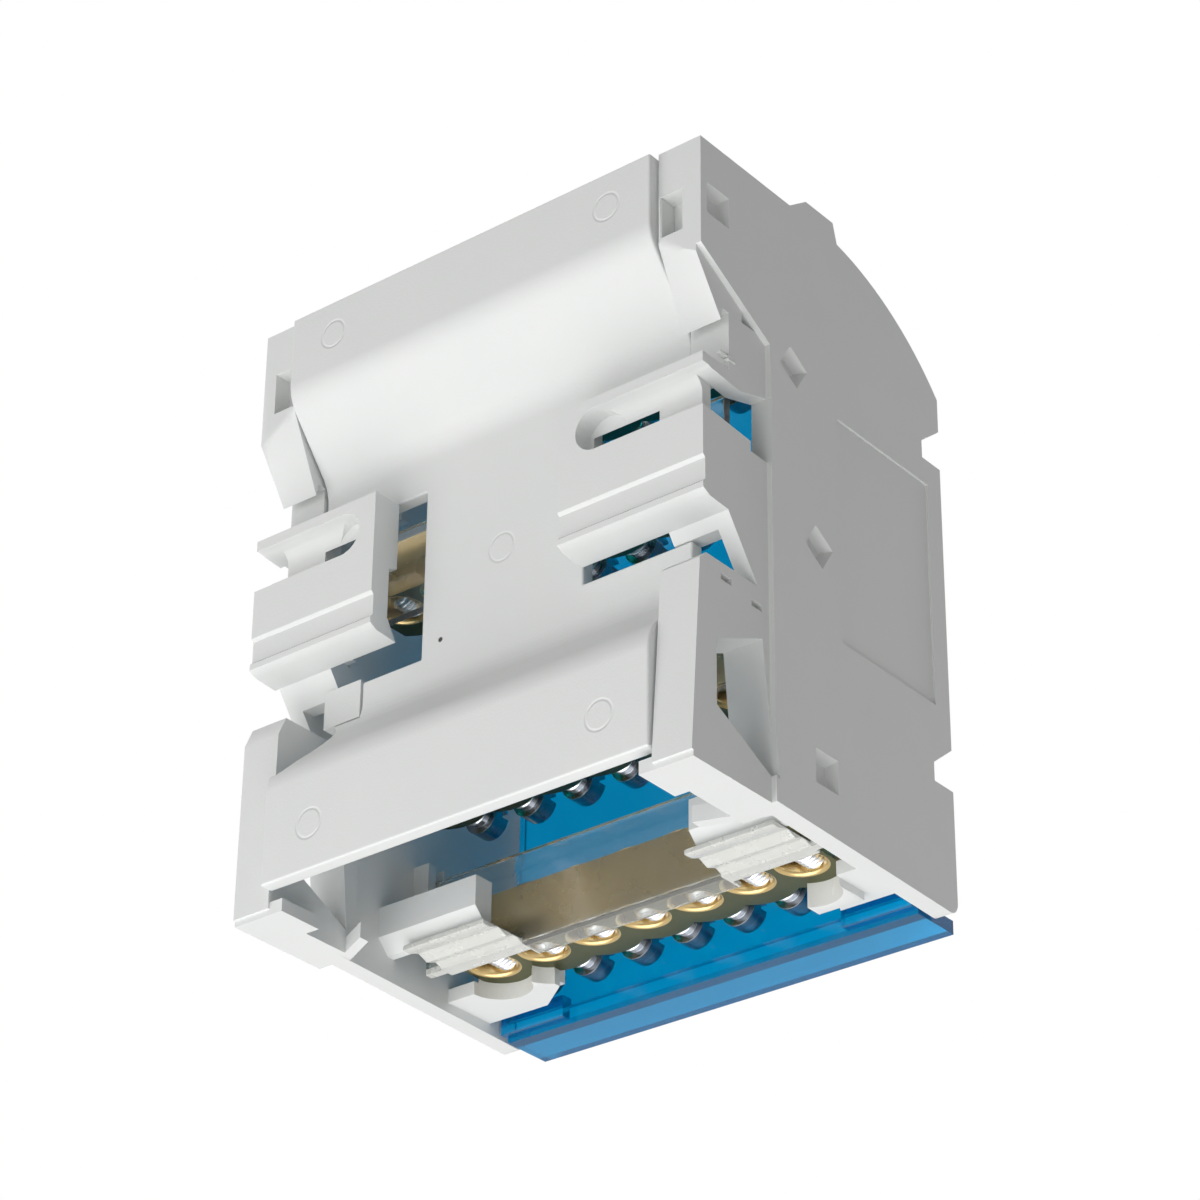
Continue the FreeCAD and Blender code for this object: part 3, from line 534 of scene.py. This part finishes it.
screw_shape = bmesh.new()
turned_body(screw_shape)
head_lands(screw_shape)
thread(screw_shape)
bmesh.ops.recalc_face_normals(screw_shape, faces=screw_shape.faces)
# The head's faces take the darker zinc, painted shade.
for face in screw_shape.faces:
    face.material_index = 1 if face.calc_center_median().y < -STEM + CLOSE else 0
print("one screw has", len(screw_shape.faces), "faces")

# %% A screw in every way
for row in ROWS:
    for way in WAYS:
        name = "%s_screw_%d" % (row, way)
        low, high = (Vector(corner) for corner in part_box(name))
        middle = (low + high) / 2
        shape = screw_shape.copy()
        bmesh.ops.translate(shape, verts=shape.verts, vec=(middle.x, high.y, middle.z))
        screw = finish_piece("threaded_" + name, shape, [ZINC, SHADED_HEAD_ZINC], name, "zinc")
        shape.free()
        round_edges(screw, SCREW_EDGE)
        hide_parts(name)
screw_shape.free()
print("placed", len(ROWS) * len(WAYS), "threaded screws")

# %% [markdown]
# ## Small mouldings of the case
# A few small forms finish the case: ribs that close the rail hooks' sockets on the inside, three
# short ribs on the near hook's seat, and the cradles on the lugs that hold the lowest bar's end lobes.
# The ribs are bevelled blocks. A cradle starts from an arc of the lobe's circle, which is extruded
# forwards and then raised, so that it fits round the lobe.

# %% Ribs
SOCKET_RIB_STARTS = (-28.35, 30.85)
SOCKET_RIB_SIZE = Vector((0.4, 2.5, 6.0))
SOCKET_RIB_LOW = (3.7, 27.5)
SEAT_RIB_STARTS = ((0.3, 11.7), (-0.7, 11.8), (-1.2, 11.4))
SEAT_RIB_ENDS = (-33.68, -32.9)
SEAT_RIB_LENGTH = 1.5
SEAT_RIB_HALF = 0.2
RIB_EDGE = 0.1 * MM


def moulded_block(shape, low, high):
    """A block with rounded edges between two corners, given in millimetres."""
    low, high = Vector(low) * MM, Vector(high) * MM
    place = Matrix.Translation((low + high) / 2) @ Matrix.Diagonal((*(high - low), 1))
    corners = bmesh.ops.create_cube(shape, size=1.0, matrix=place)["verts"]
    edges = list({e for v in corners for e in v.link_edges})
    bmesh.ops.bevel(shape, geom=edges, offset=RIB_EDGE, offset_type="OFFSET", affect="EDGES", segments=2,
                    profile=0.5, material=-1, clamp_overlap=True)


shape = bmesh.new()
for x in SOCKET_RIB_STARTS:
    low = Vector((x, *SOCKET_RIB_LOW))
    moulded_block(shape, low, low + SOCKET_RIB_SIZE)
finish_piece("socket_ribs", shape, [WHITE], "case", "white_plastic")
shape.free()
shape = bmesh.new()
for y, z in SEAT_RIB_STARTS:
    low = (SEAT_RIB_ENDS[0], y, z - SEAT_RIB_HALF)
    high = (SEAT_RIB_ENDS[1], y + SEAT_RIB_LENGTH, z + SEAT_RIB_HALF)
    moulded_block(shape, low, high)
finish_piece("seat_ribs", shape, [WHITE], "case", "white_plastic")
shape.free()
print("made", len(SOCKET_RIB_STARTS), "socket ribs and", len(SEAT_RIB_STARTS), "seat ribs")

# %% Cradles round the lowest bar's end lobes
LOBE_Y = -27.9 * MM
CRADLE_RADIUS = 4.15 * MM
CRADLE_FRONT = -33.6 * MM
CRADLE_TOP = -40.2 * MM
CRADLE_EDGE = 0.25 * MM
ARC_STEPS = 120
END_LOBE = (WAYS[-1] - MIDDLE_WAY) * WAY_SPACING
NEAR_LUG = (-27.5 * MM, -20.9 * MM)
NEAR_UNDERSIDE = -44.2 * MM
FAR_LUG = (19.5 * MM, 27.5 * MM)
FAR_TIP = (17.6 * MM, 19.5 * MM)
FAR_UNDERSIDE = -42.5 * MM


def cradle(shape, lobe, first, last, low):
    """A block from the first to the last X: a flat front, and a back hollowed to a lobe's circle."""
    flat = bmesh.new()
    ring = bmesh.ops.create_circle(flat, segments=ARC_STEPS, radius=CRADLE_RADIUS,
                                   matrix=Matrix.Translation((lobe, LOBE_Y, low)))["verts"]
    spare = [v for v in ring if v.co.y > LOBE_Y or not first <= v.co.x <= last]
    bmesh.ops.delete(flat, geom=spare, context="VERTS")
    pulled = bmesh.ops.extrude_edge_only(flat, edges=flat.edges[:])["geom"]
    for v in pulled:
        if isinstance(v, bmesh.types.BMVert):
            v.co.y = CRADLE_FRONT
    raised = bmesh.ops.extrude_face_region(flat, geom=flat.faces[:], use_keep_orig=True)["geom"]
    bmesh.ops.translate(flat, verts=[v for v in raised if isinstance(v, bmesh.types.BMVert)],
                        vec=(0, 0, CRADLE_TOP - low))
    bmesh.ops.recalc_face_normals(flat, faces=flat.faces)
    made = bpy.data.meshes.new("cradle")
    flat.to_mesh(made)
    flat.free()
    shape.from_mesh(made)
    bpy.data.meshes.remove(made)


shape = bmesh.new()
cradle(shape, -END_LOBE, *NEAR_LUG, NEAR_UNDERSIDE)
cradle(shape, END_LOBE, *FAR_LUG, FAR_UNDERSIDE)
cradle(shape, END_LOBE - WAY_SPACING, *FAR_TIP, FAR_UNDERSIDE)
cradles = finish_piece("bar_cradles", shape, [WHITE], "case", "white_plastic")
shape.free()
round_edges(cradles, CRADLE_EDGE, CASE_SEGMENTS)
print("made", cradles.name)

# %% [markdown]
# ## Stage, lights and camera
# The block is shown against white. Two broad lamps, behind it and beneath it, light the side that the
# picture looks at, and a third in front lights the cover. The floor lies well below. It and the world
# are pale only to the camera, seen straight or by way of gloss and glass, so that they add little
# light. The camera was found by matching the block's known edges.

# %% Floor
FLOOR_GLOW = 0.7
FLOOR_DROP = -0.75
FLOOR_HALF = 3.0
MOTTLE_SIZE = 0.2
WHITE_LIGHT = (1, 1, 1, 1)


def seen_directly(air):
    """1 for rays that come from the camera, or from it by way of gloss or glass, and otherwise 0."""
    seen = air.node("ShaderNodeLightPath", out="Is Camera Ray")
    for way in ("Is Glossy Ray", "Is Transmission Ray"):
        seen = air.math("MAXIMUM", seen, air.node("ShaderNodeLightPath", out=way))
    return seen


def floor_paper():
    """Pale paper that looks nearly white from the camera."""
    material, place = new_material("floor_paper")
    mottle = noise(place, MOTTLE_SIZE, 2.0)
    colour = blend(place, mottle, rgb(236, 236, 236), rgb(242, 242, 242))
    paper = principled(place, {"Base Color": colour, "Roughness": 0.8 + 0.1 * mottle})
    glow = place.node("ShaderNodeEmission", None, {"Color": WHITE_LIGHT, "Strength": 1.0})
    pale = seen_directly(place) * FLOOR_GLOW
    cover_with(place, place.node("ShaderNodeMixShader", None, {0: pale, 1: paper, 2: glow}))
    return material


shape = bmesh.new()
bmesh.ops.create_grid(shape, x_segments=1, y_segments=1, size=FLOOR_HALF,
                      matrix=Matrix.Translation((0, 0, FLOOR_DROP)))
floor_mesh = bpy.data.meshes.new("floor")
shape.to_mesh(floor_mesh)
shape.free()
floor = bpy.data.objects.new("floor", floor_mesh)
bpy.context.scene.collection.objects.link(floor)
floor.data.materials.append(floor_paper())
print("laid", floor.name)

# %% World
AMBIENT = 0.26
world = bpy.data.worlds.new("studio")
bpy.context.scene.world = world
world.use_nodes = True
world.node_tree.nodes.clear()
air = Field(world.node_tree, None)
strength = AMBIENT + (1 - AMBIENT) * seen_directly(air)
background = air.node("ShaderNodeBackground", None, {"Color": WHITE_LIGHT, "Strength": strength})
sky = world.node_tree.nodes.new("ShaderNodeOutputWorld")
world.node_tree.links.new(background.socket, sky.inputs["Surface"])
print("made the world", world.name)

# %% Lights
LAMPS = (
    ("key", (0.25, 0.62, -0.3), 1.0, 3.35),
    ("under", (-0.05, 0.2, -0.6), 0.8, 2.7),
    ("fill", (0.1, -0.75, 0.2), 0.6, 4.0),
)


def lamp(name, place, size, power):
    """A round lamp aimed at the frame's origin: place and size in metres, power in watts."""
    light = bpy.data.lights.new(name, "AREA")
    light.shape = "DISK"
    light.size = size
    light.energy = power
    thing = bpy.data.objects.new(name, light)
    thing.location = place
    thing.rotation_euler = (-Vector(place)).to_track_quat("-Z", "Y").to_euler()
    bpy.context.scene.collection.objects.link(thing)


for settings in LAMPS:
    lamp(*settings)
print("lit by", len(LAMPS), "lamps")

# %% Camera
SENSOR_WIDTH = 36.0
FOCAL_LENGTH = 113.82
NEAREST = 0.01
CAMERA_PLACE = (-0.255647, 0.297527, -0.236028)
CAMERA_TURN = Euler((2.09529, -0.00925, -2.46577))
lens = bpy.data.cameras.new("camera")
lens.sensor_width = SENSOR_WIDTH
lens.lens = FOCAL_LENGTH
lens.clip_start = NEAREST
camera = bpy.data.objects.new("camera", lens)
camera.location = CAMERA_PLACE
camera.rotation_euler = CAMERA_TURN
bpy.context.scene.collection.objects.link(camera)
bpy.context.scene.camera = camera
bpy.context.scene.view_settings.view_transform = "Standard"
print("camera placed")
